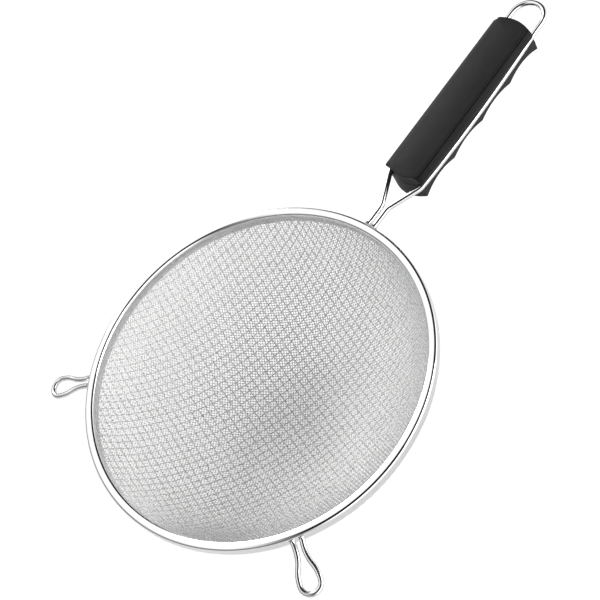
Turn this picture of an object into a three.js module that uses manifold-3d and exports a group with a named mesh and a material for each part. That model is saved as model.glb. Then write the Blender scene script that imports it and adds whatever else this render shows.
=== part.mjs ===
// Double-mesh kitchen sieve: a wire-cloth bowl in a steel rim, with a wire handle, a plastic grip
// and two rest hooks. Millimetres, +Z up. The origin is the flat at the bottom of the bowl, on the
// bowl's axis. The handle points along +X and the rim's top is BOWL_DEPTH above the origin.
import * as THREE from 'three';
import { mergeVertices } from 'three/addons/utils/BufferGeometryUtils.js';
import Module from 'manifold-3d';

// Rim: an inverted channel of folded sheet that traps the edges of both cloths
const RIM_DIAMETER = 203;
const RIM_SHEET = 0.8;
const RIM_CORNER = 1.8;
const RIM_OUTER_HEIGHT = 6.2;
const RIM_INNER_HEIGHT = 7;
const RIM_SEGMENTS = 60;
const CORNER_STEPS = 4;
const FOLD_STEPS = 2;
const HOOP_THICKNESS = 0.4;
const HOOP_HEIGHT = 3.6;

// Bowl: two wire cloths draped on a round form, the fine one inside the coarse one
const BOWL_DEPTH = 78;
const BASE_FLAT = 0.5;
const FINE_PITCH = 1.5;
const FINE_DRAWN_EVERY = 9;
const FINE_THICKNESS = 0.6;
const FINE_BAR = 1.3;
const FINE_ANGLE = -52;
const SUPPORT_PITCH = 4.3;
const SUPPORT_DRAWN_EVERY = 5;
const SUPPORT_THICKNESS = 0.9;
const SUPPORT_BAR = 2.2;
const SUPPORT_ANGLE = -17;
const EDGE_BAND = 1.5;
const HEM = 0.12;

// Handle: one bent wire, both legs welded to the outside of the rim
const HANDLE_WIRE = 3.3;
const HANDLE_RISE = 4;
const LEG_DROP = 0.8;
const LEG_SPACING = 4.2;
const LEG_STRAIGHT = 12.7;
const SPREAD_LENGTH = 18.8;
const SIDE_SPACING = 22.9;
const SIDE_LENGTH = 109.5;
const SIDE_BOW = 1.7;
const LOOP_STRAIGHT = 5.7;
const LOOP_SPACING = 20.3;
const WIRE_BEND = 8;
const WIRE_SIDES = 10;
const LOOP_STEPS = 14;
const SIDE_STEPS = 6;
const BEND_STEPS = 4;

// Grip: a cap and a finger half closed on the wire, which lies in a channel along each side
const GRIP_LENGTH = 105;
const GRIP_WIDTH = 27.8;
const GRIP_TOP_WIDTH = 20.6;
const GRIP_SHOULDER_WIDTH = 23;
const GRIP_CORE_WIDTH = 21.2;
const GRIP_LEDGE_WIDTH = 24.8;
const GRIP_BASE_WIDTH = 24.4;
const TOP_HEIGHT = 7.8;
const SHOULDER_HEIGHT = 7.45;
const LIP_HEIGHT = 4.45;
const LIP_EDGE = 0.5;
const CHANNEL_HEIGHT = 1.9;
const LEDGE_DEPTH = 2.2;
const HEEL_DEPTH = 8.9;
const RIDGE_DEPTH = 7.6;
const VALLEY_DEPTH = 4.9;
const RIDGE_FLAT = 1.6;
const FINGER_GROOVES = 4;
const GROOVE_STEPS = 8;
const PEG_DIAMETER = 6;
const PEG_HEIGHT = 3.4;
const PEG_SPACING = 52;
const PEG_ROOT = 1;
const PEG_SIDES = 16;

// Ends of the grip: how far the middle of each end stands out, and how far its corners fall back
const FRONT_TOP_REACH = 0.9;
const FRONT_TOP_CROWN = 4.2;
const FRONT_LIP_REACH = 1.4;
const FRONT_LIP_CROWN = 1.6;
const FRONT_HEEL_REACH = 3.9;
const FRONT_HEEL_CROWN = 5.2;
const REAR_TOP_REACH = 2.9;
const REAR_LIP_REACH = 3.6;
const REAR_HEEL_REACH = 2.8;
const REAR_CROWN = 4;
const CROWN_STEPS = 8;

// Rest hooks: two drop-shaped wire loops opposite the handle
const HOOK_WIRE = 3.1;
const HOOK_SPREAD = 55.3;
const HOOK_DROOP = 13;
const HOOK_DROP = 3.5;
const HOOK_REACH = 29.5;
const HOOK_WIDTH = 14.1;
const HOOK_FOOT_SPACING = 6.2;
const HOOK_NECK_SPACING = 4.5;
const HOOK_NECK = 5;
const HOOK_SIDES = 8;
const HOOK_NECK_STEPS = 3;
const HOOK_SWAY_STEPS = 6;
const HOOK_TIP_STEPS = 5;

// Gap left between pieces that touch on the real sieve
const SEAT_GAP = 0.3;

// Sizes that follow from those above
const RIM_RADIUS = RIM_DIAMETER / 2;
const RIM_TOP = BOWL_DEPTH;
const FINE_STEP = FINE_PITCH * FINE_DRAWN_EVERY;
const SUPPORT_STEP = SUPPORT_PITCH * SUPPORT_DRAWN_EVERY;
// the coarse cloth's crossings stand out this much, so its straight bars stay clear of the fine cloth
const SUPPORT_STAND_OUT = SUPPORT_STEP ** 2 / (8 * RIM_RADIUS);
const CLOTH_GAP = SEAT_GAP + 2 * HEM;
const HOOP_OUTER = RIM_RADIUS - RIM_SHEET - SEAT_GAP;
const HOOP_INNER = HOOP_OUTER - HOOP_THICKNESS;
const SUPPORT_OUTER = HOOP_INNER - SEAT_GAP - HEM;
const SUPPORT_INNER = SUPPORT_OUTER - SUPPORT_THICKNESS;
const FINE_OUTER = SUPPORT_INNER - CLOTH_GAP;
const FINE_INNER = FINE_OUTER - FINE_THICKNESS;
const RIM_INNER_RADIUS = FINE_INNER - HEM - SEAT_GAP - RIM_SHEET;
const CLOTH_TOP = RIM_TOP - RIM_CORNER - SEAT_GAP;
const CLOTH_TURN = RIM_TOP - RIM_INNER_HEIGHT - SEAT_GAP;
const SIDE_START = LEG_STRAIGHT + SPREAD_LENGTH;
const SIDE_END = SIDE_START + SIDE_LENGTH;
const LOOP_CENTRE = SIDE_END + LOOP_STRAIGHT;
const GRIP_START = SIDE_START + SEAT_GAP;
const GRIP_END = GRIP_START + GRIP_LENGTH;

const POLISHED_STEEL = { color: 0xe3e5e8, roughness: 0.12, metalness: 1 };
const DRAWN_STEEL = { color: 0xc9ccd0, roughness: 0.3, metalness: 1 };
const BLACK_PLASTIC = { color: 0x2c2c2e, roughness: 0.55, metalness: 0 };

const wasm = await Module();
wasm.setup();

const radians = THREE.MathUtils.degToRad;

function toSolid(geometry) {
  const bare = geometry.index ? geometry.toNonIndexed() : geometry.clone();
  bare.deleteAttribute('normal');
  bare.deleteAttribute('uv');
  const merged = mergeVertices(bare, 1e-4);
  return new wasm.Manifold(new wasm.Mesh({
    numProp: 3,
    vertProperties: new Float32Array(merged.attributes.position.array),
    triVerts: new Uint32Array(merged.index.array),
  }));
}

function toGeometry(solid) {
  const mesh = solid.getMesh();
  const geometry = new THREE.BufferGeometry();
  geometry.setAttribute('position', new THREE.BufferAttribute(new Float32Array(mesh.vertProperties), 3));
  geometry.setIndex(new THREE.BufferAttribute(new Uint32Array(mesh.triVerts), 1));
  geometry.computeVertexNormals();
  return geometry;
}

function piece(name, geometry, finish) {
  const mesh = new THREE.Mesh(geometry, new THREE.MeshStandardMaterial(finish));
  mesh.name = name;
  return mesh;
}

// A ring about Z from a closed outline of [radius, height] corners, in counter-clockwise order
function ring(outline) {
  const profile = [...outline, outline[0]].map(([r, z]) => new THREE.Vector2(r, z));
  return new THREE.LatheGeometry(profile, RIM_SEGMENTS).rotateX(Math.PI / 2);
}

function arcPoints(cx, cy, radius, from, to, steps) {
  return Array.from({ length: steps + 1 }, (_, k) => {
    const angle = radians(from + ((to - from) * k) / steps);
    return [cx + radius * Math.cos(angle), cy + radius * Math.sin(angle)];
  });
}

// Path of lines and curves, each with its own number of steps, so straight runs stay plain
class StepPath extends THREE.Curve {
  constructor(runs) {
    super();
    this.runs = runs;
    this.steps = runs.reduce((sum, run) => sum + run.steps, 0);
  }

  getPoint(t, target = new THREE.Vector3()) {
    let place = t * this.steps;
    for (const run of this.runs) {
      if (place <= run.steps || run === this.runs.at(-1)) {
        return target.copy(run.curve.getPoint(place / run.steps));
      }
      place -= run.steps;
    }
    return target;
  }

  getPointAt(u, target) {
    return this.getPoint(u, target);
  }

  getSpacedPoints(steps) {
    return this.getPoints(steps);
  }

  getTangentAt(u, target) {
    return this.getTangent(u, target);
  }
}

// Runs along corner points in a plane, with a round bend at each inner corner
function bentRuns(corners, bend, bendSteps) {
  const runs = [];
  let from = corners[0];
  for (let k = 1; k < corners.length - 1; k++) {
    const before = corners[k].clone().sub(corners[k - 1]).normalize();
    const after = corners[k + 1].clone().sub(corners[k]).normalize();
    const trim = bend * Math.tan(before.angleTo(after) / 2);
    const start = corners[k].clone().addScaledVector(before, -trim);
    const end = corners[k].clone().addScaledVector(after, trim);
    const reach = (4 / 3) * Math.tan(before.angleTo(after) / 4) * bend;
    const inner = start.clone().addScaledVector(before, reach);
    const outer = end.clone().addScaledVector(after, -reach);
    runs.push({ curve: new THREE.LineCurve3(from, start), steps: 1 });
    runs.push({ curve: new THREE.CubicBezierCurve3(start, inner, outer, end), steps: bendSteps });
    from = end;
  }
  runs.push({ curve: new THREE.LineCurve3(from, corners.at(-1)), steps: 1 });
  return runs;
}

function mirroredRuns(runs) {
  const flip = (p) => new THREE.Vector3(p.x, -p.y, p.z);
  return runs.toReversed().map(({ curve, steps }) => {
    if (curve.isLineCurve3) {
      return { curve: new THREE.LineCurve3(flip(curve.v2), flip(curve.v1)), steps };
    }
    const points = [curve.v3, curve.v2, curve.v1, curve.v0].map(flip);
    return { curve: new THREE.CubicBezierCurve3(...points), steps };
  });
}

function wireAlong(path, diameter, sides) {
  const section = new THREE.Shape(arcPoints(0, 0, diameter / 2, 0, 360, sides).slice(0, sides)
    .map(([x, y]) => new THREE.Vector2(x, y)));
  return new THREE.ExtrudeGeometry(section, { steps: path.steps, extrudePath: path, curveSegments: 1 });
}

// Closed body through stacked outlines that have the same number of points
function loft(levels) {
  const count = levels[0].length;
  const positions = levels.flat().flat();
  const faces = [];
  for (let level = 0; level < levels.length - 1; level++) {
    for (let k = 0; k < count; k++) {
      const next = (k + 1) % count;
      const [a, b] = [level * count + k, level * count + next];
      faces.push(a, b, b + count, a, b + count, a + count);
    }
  }
  const flat = levels[0].map(([x, y]) => new THREE.Vector2(x, y));
  const lidStart = (levels.length - 1) * count;
  const lid = levels.at(-1).map(([x, y]) => new THREE.Vector2(x, y));
  for (const [a, b, c] of THREE.ShapeUtils.triangulateShape(flat, [])) faces.push(a, c, b);
  for (const [a, b, c] of THREE.ShapeUtils.triangulateShape(lid, [])) {
    faces.push(lidStart + a, lidStart + b, lidStart + c);
  }
  const geometry = new THREE.BufferGeometry();
  geometry.setAttribute('position', new THREE.Float32BufferAttribute(positions, 3));
  geometry.setIndex(faces);
  return geometry;
}

// Rim: rounded top, a taller wall inside than outside, open below
function rimChannel() {
  const inner = RIM_INNER_RADIUS;
  const lowOuter = RIM_TOP - RIM_OUTER_HEIGHT;
  const lowInner = RIM_TOP - RIM_INNER_HEIGHT;
  const fold = RIM_CORNER - RIM_SHEET;
  const bendZ = RIM_TOP - RIM_CORNER;
  return ring([
    [RIM_RADIUS, lowOuter],
    ...arcPoints(RIM_RADIUS - RIM_CORNER, bendZ, RIM_CORNER, 0, 90, CORNER_STEPS),
    ...arcPoints(inner + RIM_CORNER, bendZ, RIM_CORNER, 90, 180, CORNER_STEPS),
    [inner, lowInner],
    [inner + RIM_SHEET, lowInner],
    ...arcPoints(inner + RIM_CORNER, bendZ, fold, 180, 90, FOLD_STEPS),
    ...arcPoints(RIM_RADIUS - RIM_CORNER, bendZ, fold, 90, 0, FOLD_STEPS),
    [RIM_RADIUS - RIM_SHEET, lowOuter],
  ]);
}

// Flat strip inside the rim that presses both cloths to its inner wall
function clampHoop() {
  return ring([
    [HOOP_INNER, CLOTH_TOP - HOOP_HEIGHT],
    [HOOP_OUTER, CLOTH_TOP - HOOP_HEIGHT],
    [HOOP_OUTER, CLOTH_TOP],
    [HOOP_INNER, CLOTH_TOP],
  ]);
}

// Sphere through the cloth's turned edge and its lowest point
function bowlForm(edgeRadius, bottom) {
  const rise = CLOTH_TURN - bottom;
  const radius = (edgeRadius ** 2 + rise ** 2) / (2 * rise);
  return { radius, centre: bottom + radius };
}

// Directions of the crossings of a square cloth draped on a sphere from its pole: wires keep their
// spacing along both ways, so away from the two straight middle wires the squares shear to diamonds.
function drape(angleStep, reach) {
  const middle = Math.ceil(reach / angleStep) + 1;
  const count = 2 * middle + 1;
  const at = Array.from({ length: count }, () => new Array(count));
  for (let k = -middle; k <= middle; k++) {
    const turn = k * angleStep;
    at[middle + k][middle] = new THREE.Vector3(Math.sin(turn), 0, -Math.cos(turn));
    at[middle][middle + k] = new THREE.Vector3(0, Math.sin(turn), -Math.cos(turn));
  }
  for (const sx of [1, -1]) {
    for (const sy of [1, -1]) {
      for (let i = 1; i <= middle; i++) {
        for (let j = 1; j <= middle; j++) {
          const [x, y] = [middle + sx * i, middle + sy * j];
          const across = at[x][y - sy].clone().add(at[x - sx][y]).normalize();
          const back = at[x - sx][y - sy];
          at[x][y] = across.multiplyScalar(2 * across.dot(back)).sub(back);
        }
      }
    }
  }
  return at;
}

// Cloth as one body of crossing bars: each bar is flat on one side and has a ridge on the other
function clothBars(form, step, bar, flatRadius, ridgeRadius, reach) {
  const at = drape(step / form.radius, reach);
  const last = at.length - 1;
  const positions = [];
  const faces = [];
  const first = new Map();
  const outward = flatRadius > ridgeRadius;
  const add = (direction, radius) => {
    positions.push(direction.x * radius, direction.y * radius, direction.z * radius + form.centre);
    return positions.length / 3 - 1;
  };
  const face = (...loop) => {
    const order = outward ? loop : loop.toReversed();
    for (let k = 1; k < order.length - 1; k++) faces.push(order[0], order[k], order[k + 1]);
  };
  const share = bar / step / 4;
  const inside = (i, j) => i > 0 && j > 0 && i < last && j < last && at[i][j].z < -Math.cos(reach);
  for (let i = 1; i < last; i++) {
    for (let j = 1; j < last; j++) {
      if (!inside(i, j)) continue;
      const along = at[i + 1][j].clone().sub(at[i - 1][j]).multiplyScalar(share);
      const over = at[i][j + 1].clone().sub(at[i][j - 1]).multiplyScalar(share);
      const corner = (a, b) => add(
        at[i][j].clone().addScaledVector(along, a).addScaledVector(over, b).normalize(), flatRadius);
      const ridge = add(at[i][j], ridgeRadius);
      first.set(i * at.length + j, ridge);
      corner(1, 1);
      corner(-1, 1);
      corner(-1, -1);
      corner(1, -1);
    }
  }
  // vertex order at a crossing: ridge, then its four flat corners (+ +), (- +), (- -), (+ -)
  for (const [key, n] of first) {
    const [i, j] = [Math.floor(key / at.length), key % at.length];
    const [ridge, pp, mp, mm, pm] = [n, n + 1, n + 2, n + 3, n + 4];
    face(pp, pm, mm, mp);
    const right = first.get((i + 1) * at.length + j);
    const up = first.get(i * at.length + j + 1);
    if (right === undefined) face(pm, pp, ridge);
    else {
      face(pp, right + 2, right + 3, pm);
      face(pp, ridge, right, right + 2);
      face(pm, right + 3, right, ridge);
    }
    if (up === undefined) face(pp, mp, ridge);
    else {
      face(mp, up + 3, up + 4, pp);
      face(mp, ridge, up, up + 3);
      face(pp, up + 4, up, ridge);
    }
    if (!first.has((i - 1) * at.length + j)) face(mp, mm, ridge);
    if (!first.has(i * at.length + j - 1)) face(mm, pm, ridge);
  }
  const geometry = new THREE.BufferGeometry();
  geometry.setAttribute('position', new THREE.Float32BufferAttribute(positions, 3));
  geometry.setIndex(faces);
  return geometry;
}

// One cloth: bars trimmed below the rim and joined to the hem that is turned up inside it
function meshCloth({ outer, thickness, bottom, floor, step, bar, angle, standOut, flatOutside }) {
  const form = bowlForm(outer, bottom + standOut);
  const inner = outer - thickness;
  const innerRadius = form.radius - thickness;
  const radiusAt = (sphere, z) => Math.sqrt(sphere ** 2 - (form.centre - z) ** 2);
  const bandLow = CLOTH_TURN - EDGE_BAND;
  const edge = ring([
    [radiusAt(innerRadius, bandLow) - HEM, bandLow],
    [radiusAt(form.radius, bandLow) + HEM, bandLow],
    [outer + HEM, CLOTH_TURN],
    [outer + HEM, CLOTH_TOP],
    [inner - HEM, CLOTH_TOP],
    [inner - HEM, CLOTH_TURN],
  ]);
  const reach = Math.acos((form.centre - CLOTH_TURN) / form.radius) + (2 * step) / form.radius;
  const flat = (flatOutside ? form.radius : innerRadius) + standOut;
  const ridge = (flatOutside ? innerRadius : form.radius) + standOut;
  const bars = clothBars(form, step, bar, flat, ridge, reach).rotateZ(radians(angle));
  const trimTop = CLOTH_TURN - EDGE_BAND / 3;
  const drum = new THREE.CylinderGeometry(RIM_RADIUS, RIM_RADIUS, trimTop - floor, RIM_SEGMENTS)
    .rotateX(Math.PI / 2)
    .translate(0, 0, (trimTop + floor) / 2);
  return toGeometry(toSolid(bars).intersect(toSolid(drum)).add(toSolid(edge)));
}

// Handle wire in the handle's own frame: x from the rim's wall along the handle, z = 0 at its centre
function handlePath() {
  const point = (x, y) => new THREE.Vector3(x, y, 0);
  const legY = -LEG_SPACING / 2;
  const loopY = -LOOP_SPACING / 2;
  const entry = point(SIDE_START, -SIDE_SPACING / 2);
  const exit = point(SIDE_END, loopY);
  const third = exit.clone().sub(entry).divideScalar(3);
  const bulge = point(0, (-4 / 3) * SIDE_BOW);
  const nearEntry = entry.clone().add(third).add(bulge);
  const nearExit = exit.clone().sub(third).add(bulge);
  const settled = entry.clone().lerp(nearEntry, WIRE_BEND / third.x);
  const leg = [point(SEAT_GAP, legY), point(LEG_STRAIGHT, legY), entry, settled];
  const right = bentRuns(leg, WIRE_BEND, BEND_STEPS);
  const quarter = (LOOP_SPACING / 2) * (4 / 3) * Math.tan(Math.PI / 8);
  const apex = point(LOOP_CENTRE + LOOP_SPACING / 2, 0);
  right.push(
    { curve: new THREE.CubicBezierCurve3(settled, nearEntry, nearExit, exit), steps: SIDE_STEPS },
    { curve: new THREE.LineCurve3(exit, point(LOOP_CENTRE, loopY)), steps: 1 },
    {
      curve: new THREE.CubicBezierCurve3(
        point(LOOP_CENTRE, loopY),
        point(LOOP_CENTRE + quarter, loopY),
        point(apex.x, -quarter),
        apex,
      ),
      steps: LOOP_STEPS / 2,
    },
  );
  return new StepPath([...right, ...mirroredRuns(right)]);
}

// Where the middle of each end of the grip lies at one height, and how far its corners fall back
function gripEnds(z) {
  const up = (z - LIP_HEIGHT) / (TOP_HEIGHT - LIP_HEIGHT);
  const down = (LIP_HEIGHT - z) / (LIP_HEIGHT + HEEL_DEPTH);
  const blend = (top, lip, heel) => (z > LIP_HEIGHT ? lip + (top - lip) * up : lip + (heel - lip) * down);
  return {
    front: GRIP_START - blend(FRONT_TOP_REACH, FRONT_LIP_REACH, FRONT_HEEL_REACH),
    frontCrown: blend(FRONT_TOP_CROWN, FRONT_LIP_CROWN, FRONT_HEEL_CROWN),
    rear: GRIP_END + blend(REAR_TOP_REACH, REAR_LIP_REACH, REAR_HEEL_REACH),
  };
}

// Plan outline of the grip at one height: straight sides, crowned ends, counter-clockwise from above
function gripOutline(width, z) {
  const { front, frontCrown, rear } = gripEnds(z);
  const end = (middle, crown, side) => Array.from({ length: CROWN_STEPS + 1 }, (_, k) => {
    const y = (side * width * (2 * k - CROWN_STEPS)) / (2 * CROWN_STEPS);
    return [middle + crown * ((2 * y) / GRIP_WIDTH) ** 2, y, z];
  });
  return [...end(rear, -REAR_CROWN, 1), ...end(front, frontCrown, -1)];
}

// Space for the wire in both halves of the grip
function wireGroove() {
  return toSolid(wireAlong(handlePath(), HANDLE_WIRE + 2 * SEAT_GAP, WIRE_SIDES));
}

function pegs(diameter, low, high) {
  const middle = (GRIP_START + GRIP_END) / 2;
  return [-1, 1].map((side) => toSolid(
    new THREE.CylinderGeometry(diameter / 2, diameter / 2, high - low, PEG_SIDES)
      .rotateX(Math.PI / 2)
      .translate(middle + (side * PEG_SPACING) / 2, 0, (low + high) / 2),
  ));
}

// Cap: a flat with eased edges and steep flanks, whose lip overhangs the wire's channel on both sides
function gripUpper() {
  const body = loft([
    gripOutline(GRIP_CORE_WIDTH, SEAT_GAP / 2),
    gripOutline(GRIP_CORE_WIDTH, CHANNEL_HEIGHT),
    gripOutline(GRIP_WIDTH, LIP_HEIGHT - LIP_EDGE),
    gripOutline(GRIP_WIDTH, LIP_HEIGHT),
    gripOutline(GRIP_SHOULDER_WIDTH, SHOULDER_HEIGHT),
    gripOutline(GRIP_TOP_WIDTH, TOP_HEIGHT),
  ]);
  const sockets = pegs(PEG_DIAMETER + 2 * SEAT_GAP, 0, PEG_HEIGHT + SEAT_GAP);
  return toGeometry(sockets.reduce((solid, socket) => solid.subtract(socket),
    toSolid(body).subtract(wireGroove())));
}

// Circle arc through two ends with a given highest point between them
function scoop(x0, z0, x1, z1, top) {
  const middle = (x0 + x1) / 2;
  const [a, b, c] = [[x0, z0], [middle, top], [x1, z1]];
  const d = 2 * (a[0] * (b[1] - c[1]) + b[0] * (c[1] - a[1]) + c[0] * (a[1] - b[1]));
  const square = (p) => p[0] ** 2 + p[1] ** 2;
  const cx = (square(a) * (b[1] - c[1]) + square(b) * (c[1] - a[1]) + square(c) * (a[1] - b[1])) / d;
  const cz = (square(a) * (c[0] - b[0]) + square(b) * (a[0] - c[0]) + square(c) * (b[0] - a[0])) / d;
  const angle = (p) => THREE.MathUtils.radToDeg(Math.atan2(p[1] - cz, p[0] - cx));
  return arcPoints(cx, cz, Math.hypot(x0 - cx, z0 - cz), angle(a), angle(c), GROOVE_STEPS);
}

// Finger half: a ledge under the wire on both sides and four finger hollows below
function gripLower() {
  const part = -SEAT_GAP / 2;
  const body = loft([
    gripOutline(GRIP_BASE_WIDTH, -HEEL_DEPTH),
    gripOutline(GRIP_LEDGE_WIDTH, -LEDGE_DEPTH),
    gripOutline(GRIP_CORE_WIDTH, part),
  ]);
  const pitch = GRIP_LENGTH / FINGER_GROOVES;
  const underside = [];
  for (let k = 0; k < FINGER_GROOVES; k++) {
    const [x0, x1] = [GRIP_START + k * pitch, GRIP_START + (k + 1) * pitch];
    const z0 = k === 0 ? -HEEL_DEPTH : -RIDGE_DEPTH;
    const z1 = k === FINGER_GROOVES - 1 ? -HEEL_DEPTH : -RIDGE_DEPTH;
    underside.push(...scoop(x0 + RIDGE_FLAT / 2, z0, x1 - RIDGE_FLAT / 2, z1, -VALLEY_DEPTH));
  }
  const [low, high] = [GRIP_START - 2 * FRONT_HEEL_REACH, GRIP_END + 2 * REAR_LIP_REACH];
  const side = new THREE.Shape([
    [high, 0], [low, 0], [low, -HEEL_DEPTH], ...underside, [high, -HEEL_DEPTH],
  ].map(([x, z]) => new THREE.Vector2(x, z)));
  const profile = new THREE.ExtrudeGeometry(side, { depth: 2 * GRIP_WIDTH, bevelEnabled: false })
    .rotateX(Math.PI / 2)
    .translate(0, GRIP_WIDTH, 0);
  const shell = toSolid(body).intersect(toSolid(profile)).subtract(wireGroove());
  const studs = pegs(PEG_DIAMETER, part - PEG_ROOT, PEG_HEIGHT);
  return toGeometry(studs.reduce((solid, stud) => solid.add(stud), shell));
}

// Rest hook in its own frame: x out from the rim's wall, drop-shaped loop in the x-y plane
function hookPath() {
  const radius = (HOOK_WIDTH - HOOK_WIRE) / 2;
  const foot = HOOK_FOOT_SPACING / 2;
  const neck = HOOK_NECK_SPACING / 2;
  const tip = HOOK_REACH - HOOK_WIRE / 2;
  const centre = tip - radius;
  const point = (x, y) => new THREE.Vector3(x, y, 0);
  const quarter = radius * (4 / 3) * Math.tan(Math.PI / 8);
  const sway = (centre - HOOK_NECK) / 2;
  const half = [
    {
      curve: new THREE.CubicBezierCurve3(point(SEAT_GAP, -foot), point(HOOK_NECK / 2, -foot),
        point(HOOK_NECK / 2, -neck), point(HOOK_NECK, -neck)),
      steps: HOOK_NECK_STEPS,
    },
    {
      curve: new THREE.CubicBezierCurve3(point(HOOK_NECK, -neck), point(HOOK_NECK + sway, -neck),
        point(centre - sway, -radius), point(centre, -radius)),
      steps: HOOK_SWAY_STEPS,
    },
    {
      curve: new THREE.CubicBezierCurve3(point(centre, -radius), point(centre + quarter, -radius),
        point(tip, -quarter), point(tip, 0)),
      steps: HOOK_TIP_STEPS,
    },
  ];
  return new StepPath([...half, ...mirroredRuns(half)]);
}

const sieve = new THREE.Group();
sieve.add(piece('rim_channel', rimChannel(), POLISHED_STEEL));
sieve.add(piece('clamp_hoop', clampHoop(), DRAWN_STEEL));
sieve.add(piece('support_mesh', meshCloth({
  outer: SUPPORT_OUTER,
  thickness: SUPPORT_THICKNESS,
  bottom: -BASE_FLAT,
  floor: 0,
  step: SUPPORT_STEP,
  bar: SUPPORT_BAR,
  angle: SUPPORT_ANGLE,
  standOut: SUPPORT_STAND_OUT,
  flatOutside: true,
}), DRAWN_STEEL));
sieve.add(piece('fine_mesh', meshCloth({
  outer: FINE_OUTER,
  thickness: FINE_THICKNESS,
  bottom: SUPPORT_STAND_OUT + SUPPORT_THICKNESS + CLOTH_GAP - BASE_FLAT,
  floor: -BASE_FLAT,
  step: FINE_STEP,
  bar: FINE_BAR,
  angle: FINE_ANGLE,
  standOut: 0,
  flatOutside: false,
}), DRAWN_STEEL));

const handle = new THREE.Group();
handle.position.set(RIM_RADIUS, 0, RIM_TOP - LEG_DROP);
handle.rotation.y = -radians(HANDLE_RISE);
handle.add(piece('handle_wire', wireAlong(handlePath(), HANDLE_WIRE, WIRE_SIDES), POLISHED_STEEL));
handle.add(piece('grip_upper', gripUpper(), BLACK_PLASTIC));
handle.add(piece('grip_lower', gripLower(), BLACK_PLASTIC));
sieve.add(handle);

for (const [name, side] of [['rest_hook_left', -1], ['rest_hook_right', 1]]) {
  const place = new THREE.Group();
  place.rotation.z = Math.PI + side * radians(HOOK_SPREAD);
  const hook = piece(name, wireAlong(hookPath(), HOOK_WIRE, HOOK_SIDES), POLISHED_STEEL);
  hook.position.set(RIM_RADIUS, 0, RIM_TOP - HOOK_DROP);
  hook.rotation.y = radians(HOOK_DROOP);
  place.add(hook);
  sieve.add(place);
}

export default sieve;
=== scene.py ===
"""Kitchen sieve with a double mesh bowl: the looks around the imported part. Metres, in the part's frame."""
import math

import bpy
import numpy as np
from mathutils import Matrix, Vector


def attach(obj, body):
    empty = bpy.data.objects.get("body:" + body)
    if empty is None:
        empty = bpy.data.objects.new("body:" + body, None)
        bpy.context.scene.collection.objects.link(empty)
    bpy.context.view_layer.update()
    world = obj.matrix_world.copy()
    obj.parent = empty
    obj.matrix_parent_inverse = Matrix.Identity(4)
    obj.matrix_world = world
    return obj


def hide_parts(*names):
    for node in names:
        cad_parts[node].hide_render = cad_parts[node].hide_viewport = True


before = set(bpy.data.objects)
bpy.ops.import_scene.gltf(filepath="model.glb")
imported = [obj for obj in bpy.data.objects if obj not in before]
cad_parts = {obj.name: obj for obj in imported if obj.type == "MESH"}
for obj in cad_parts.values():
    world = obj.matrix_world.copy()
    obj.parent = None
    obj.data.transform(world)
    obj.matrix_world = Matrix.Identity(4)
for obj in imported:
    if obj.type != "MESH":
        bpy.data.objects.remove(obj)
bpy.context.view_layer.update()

MM = 0.001

# Rim, in millimetres: a folded sheet, its wall heights, its bends and its eased inner edge
RIM_RADIUS = 101.5
RIM_TOP = 78.0
RIM_INNER = 95.9
RIM_SHEET = 0.8
RIM_CORNER = 1.8
RIM_EASE = 2.6
RIM_OUTER_WALL = 6.2
RIM_INNER_WALL = 7.0
RIM_SEGMENTS = 288
RIM_LIP_STEPS = 6
RIM_EDGE_STEPS = 14
RIM_FOLD_STEPS = 5

# Wire cloths: both turn up into the rim at one height and are cut off at another
CLOTH_TURN = 70.7
CLOTH_CUT = 74.5
CLOTH_MARGIN = 0.12
LEAST_CROSSINGS = 3

FINE_WIRE = 0.44
FINE_PITCH = (1.5, 1.5)
FINE_EDGE = 97.84
FINE_BOTTOM = 1.62
FINE_TURN = math.radians(-52)
FINE_LEAN = (0.0, 0.0)

SUPPORT_WIRE = 0.62
SUPPORT_PITCH = (4.57, 4.24)
SUPPORT_EDGE = 98.85
SUPPORT_BOTTOM = 0.62
SUPPORT_TURN = math.radians(-17.3)
SUPPORT_LEAN = (0.088, 0.144)

# Handle wire, in the handle's own plane: two legs, bowed sides along the grip, and a hanging loop
HANDLE_RISE = math.radians(4)
HANDLE_WIRE = 1.65
LEG_DROP = 0.8
LEG_START = -0.25
LEG_HALF = 2.1
LEG_STRAIGHT = 12.7
SIDE_START = 31.5
SIDE_HALF = 11.45
SIDE_END = 141.0
SIDE_BOW = 1.5
LOOP_CENTRE = 146.64
LOOP_HALF = 10.15
WIRE_BEND = 8.0
WIRE_ROOM = 0.3
ROUTE_STEP = 1.5
BEND_STEPS = 12
SIDE_STEPS = 60
STRAND_STEPS = 6
LOOP_STEPS = 40
EASING_ROUNDS = 3
HANDLE_SIDES = 28

# Weld fillets at the ends of the wires: how much they widen, over which length, and their fine steps
LEG_FILLET = (0.55, 0.7)
LEG_FILLET_STEP = 0.15
HOOK_FILLET = (0.5, 0.6)
HOOK_FILLET_STEP = 0.12
FILLET_POWER = 1.5
WIRE_SHARP = 50

# Grip: half widths across, and heights above or depths below the handle wire
GRIP_START = 31.8
GRIP_END = 136.8
GRIP_HALF = 13.9
GRIP_TOP_HALF = 10.55
GRIP_FOOT_HALF = 10.85
GRIP_CORE_HALF = 10.6
GRIP_LEDGE_HALF = 12.6
GRIP_BASE_HALF = 12.5
GRIP_SHARP = 32
TOP_HEIGHT = 7.8
LIP_HEIGHT = 4.45
LIP_EDGE = 0.5
CHANNEL_HEIGHT = 1.9
PART_GAP = 0.15
LEDGE_DEPTH = 2.2
HEEL_DEPTH = 8.9
RIDGE_DEPTH = 7.6
VALLEY_DEPTH = 4.9
GROOVE_START = -3.0

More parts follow.
